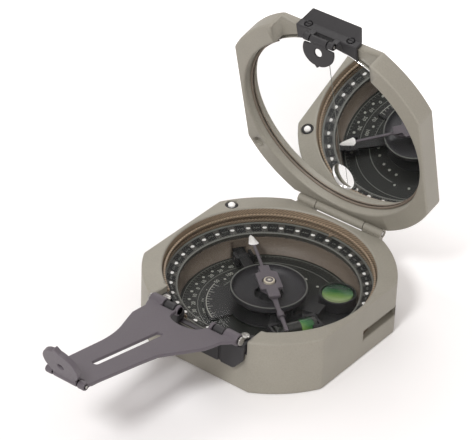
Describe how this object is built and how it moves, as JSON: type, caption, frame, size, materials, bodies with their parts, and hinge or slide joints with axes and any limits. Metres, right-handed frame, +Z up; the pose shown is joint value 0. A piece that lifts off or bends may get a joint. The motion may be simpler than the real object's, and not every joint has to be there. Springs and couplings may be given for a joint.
{
  "type": "sighting compass",
  "caption": "Flat eight-sided pocket compass with a hinged mirror lid, a folding slotted sight arm, a needle, a bearing circle and spirit levels.",
  "frame": {"origin": "on the needle's axis, in the plane of the case's bottom", "axes": "+Z up out of the dial, +Y towards the lid hinge, -Y along the sight arm, +X to the right of the dial"},
  "size_m": [0.071, 0.1474, 0.0973],
  "materials": {
    "case_paint": "satin tan-grey paint, lightly textured",
    "sight_paint": "satin purple-grey anodising",
    "black_paint": "satin black",
    "dial_paint": "matt black with pale marks",
    "inner_paint": "brown paint on turned metal",
    "steel": "bright",
    "brass": "plain",
    "white_paint": "white",
    "mirror_silver": "silvered",
    "clear_glass": "clear",
    "level_green": "clear green liquid in its vial"
  },
  "bodies": {
    "case": {"base_case": "case_paint", "lid_hinge_pin": "steel", "dial_plate": "dial_paint", "zero_index_ring": "inner_paint", "cover_glass": "clear_glass", "glass_retaining_ring": "inner_paint", "adjuster_bush": "brass", "lift_pin_bush": "black_paint", "lift_pin_spring": "steel", "lift_lever_bracket": "black_paint", "lift_lever_pin": "steel", "sight_bracket": "black_paint", "bracket_screw_west": "steel", "bracket_screw_east": "steel", "sight_hinge_pin_west": "steel", "sight_hinge_pin_east": "steel"},
    "bearing_circle": {"azimuth_ring": "dial_paint"},
    "adjuster": {"adjuster_pinion": "steel"},
    "lift_button": {"lift_pin": "white_paint"},
    "needle_lever": {"lift_lever": "black_paint"},
    "clinometer": {"clinometer_shaft": "steel", "vernier_carrier": "black_paint", "damping_cup": "black_paint", "bullseye_housing": "black_paint", "bullseye_liquid": "level_green", "bullseye_lens": "clear_glass", "tube_vial": "level_green", "vial_holder_north": "black_paint", "vial_holder_south": "black_paint", "clinometer_lever": "black_paint", "clinometer_lever_screw": "steel", "pivot_post": "steel"},
    "needle_lifter": {"lift_sleeve": "black_paint"},
    "needle_seat": {"jewel_cap": "white_paint"},
    "needle_set": {"needle": "sight_paint", "needle_magnet": "sight_paint", "needle_counterweight": "brass"},
    "arm": {"sight_arm": "sight_paint", "sight_tip_pin": "steel"},
    "arm_tip": {"sight_tip": "sight_paint"},
    "lid": {"lid_shell": "case_paint", "mirror": "mirror_silver", "mirror_retainer": "black_paint", "window_lens": "clear_glass", "small_sight_block": "black_paint", "block_screw_west": "steel", "block_screw_east": "steel", "small_sight_pin": "steel"},
    "small_sight": {"small_sight_leaf": "black_paint"}
  },
  "joints": [
    {"name": "lid_hinge", "type": "hinge", "parent": "case", "child": "lid", "pos_m": [0, 0.0382, 0.01957], "axis": [-1, 0, 0], "range_deg": [-76.2, 103.8]},
    {"name": "sight_arm_hinge", "type": "hinge", "parent": "case", "child": "arm", "pos_m": [0, -0.0376, 0.0202], "axis": [-1, 0, 0], "range_deg": [-12, 159]},
    {"name": "sight_tip_hinge", "type": "hinge", "parent": "arm", "child": "arm_tip", "pos_m": [0, -0.09727, 0.03288], "axis": [-1, 0, 0], "range_deg": [-58, 3]},
    {"name": "small_sight_hinge", "type": "hinge", "parent": "lid", "child": "small_sight", "pos_m": [0, 0.01995, 0.09273], "axis": [-1, 0, 0], "range_deg": [-15, 150]},
    {"name": "azimuth_ring_spin", "type": "hinge", "parent": "case", "child": "bearing_circle", "pos_m": [0, 0, 0.0126], "axis": [0, 0, 1], "continuous": true},
    {"name": "adjuster_pinion_spin", "type": "hinge", "parent": "case", "child": "adjuster", "pos_m": [-0.02609, 0.02609, 0.00835], "axis": [0.7071, -0.7071, 0], "continuous": true},
    {"name": "clinometer_turn", "type": "hinge", "parent": "case", "child": "clinometer", "pos_m": [0, 0, 0.005], "axis": [0, 0, 1], "range_deg": [-104, 76]},
    {"name": "lift_pin_press", "type": "slide", "parent": "case", "child": "lift_button", "axis": [0, 0, -1], "range_m": [0, 0.00075], "stiffness_N_per_m": 300, "deforming": ["lift_pin_spring"]},
    {"name": "lift_lever_turn", "type": "hinge", "parent": "case", "child": "needle_lever", "pos_m": [-0.02046, 0.01329, 0.0069], "axis": [-0.5446, -0.8387, 0], "range_deg": [0, 3.44]},
    {"name": "lift_sleeve_rise", "type": "slide", "parent": "case", "child": "needle_lifter", "axis": [0, 0, 1], "range_m": [0, 0.00126]},
    {"name": "needle_rise", "type": "slide", "parent": "case", "child": "needle_seat", "axis": [0, 0, 1], "range_m": [0, 0.00055]},
    {"name": "needle_spin", "type": "hinge", "parent": "needle_seat", "child": "needle_set", "pos_m": [0, 0, 0.0129], "axis": [0, 0, 1], "continuous": true}
  ],
  "couplings": [
    {"joint": "adjuster_pinion_spin", "follows": "azimuth_ring_spin", "ratio": 15},
    {"joint": "lift_lever_turn", "follows": "lift_pin_press", "rad_per_m": 80},
    {"joint": "lift_sleeve_rise", "follows": "lift_pin_press", "ratio": 1.68},
    {"joint": "needle_rise", "follows": "lift_pin_press", "ratio": 0.73}
  ]
}
